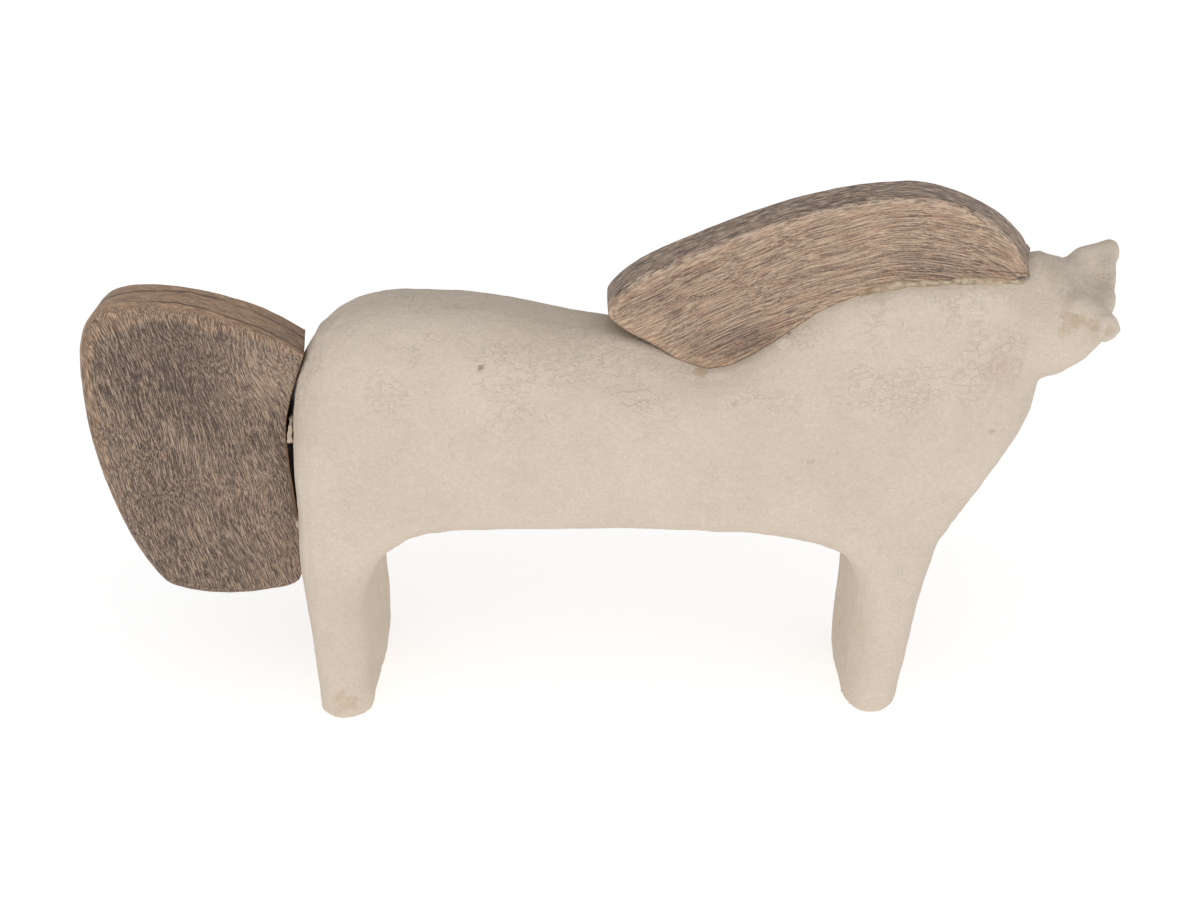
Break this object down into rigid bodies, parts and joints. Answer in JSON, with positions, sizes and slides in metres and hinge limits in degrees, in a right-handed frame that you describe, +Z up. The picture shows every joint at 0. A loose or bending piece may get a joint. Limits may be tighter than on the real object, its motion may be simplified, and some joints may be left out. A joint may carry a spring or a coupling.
{
  "type": "horse figurine",
  "caption": "Standing horse ornament: a hand-formed pulp body on slab legs, with a sawn wooden mane along the crest and a broad wooden tail at the rump.",
  "frame": {"origin": "on the surface that the soles stand on, under the middle of the whole figure's bounding box", "axes": "+X towards the head, +Y across the body away from the side that the picture shows, +Z up"},
  "size_m": [0.3856, 0.06, 0.2059],
  "materials": {
    "pulp": "matte dried paper pulp, warm beige, with pits and shallow creases",
    "mane_wood": "greyed open-pored hardwood, sanded, unvarnished",
    "tail_wood": "darker greyed open-pored hardwood, sanded, unvarnished",
    "pin_wood": "plain turned dowel",
    "glue": "dried yellowish glue, dull"
  },
  "bodies": {
    "root": {"body": "pulp", "mane": "mane_wood", "tail": "tail_wood", "mane_pin_rear": "pin_wood", "mane_pin_front": "pin_wood", "tail_pin_lower": "pin_wood", "tail_pin_upper": "pin_wood", "tail_pad_lower": "pulp", "tail_pad_upper": "pulp", "mane_glue": "glue"}
  },
  "joints": []
}
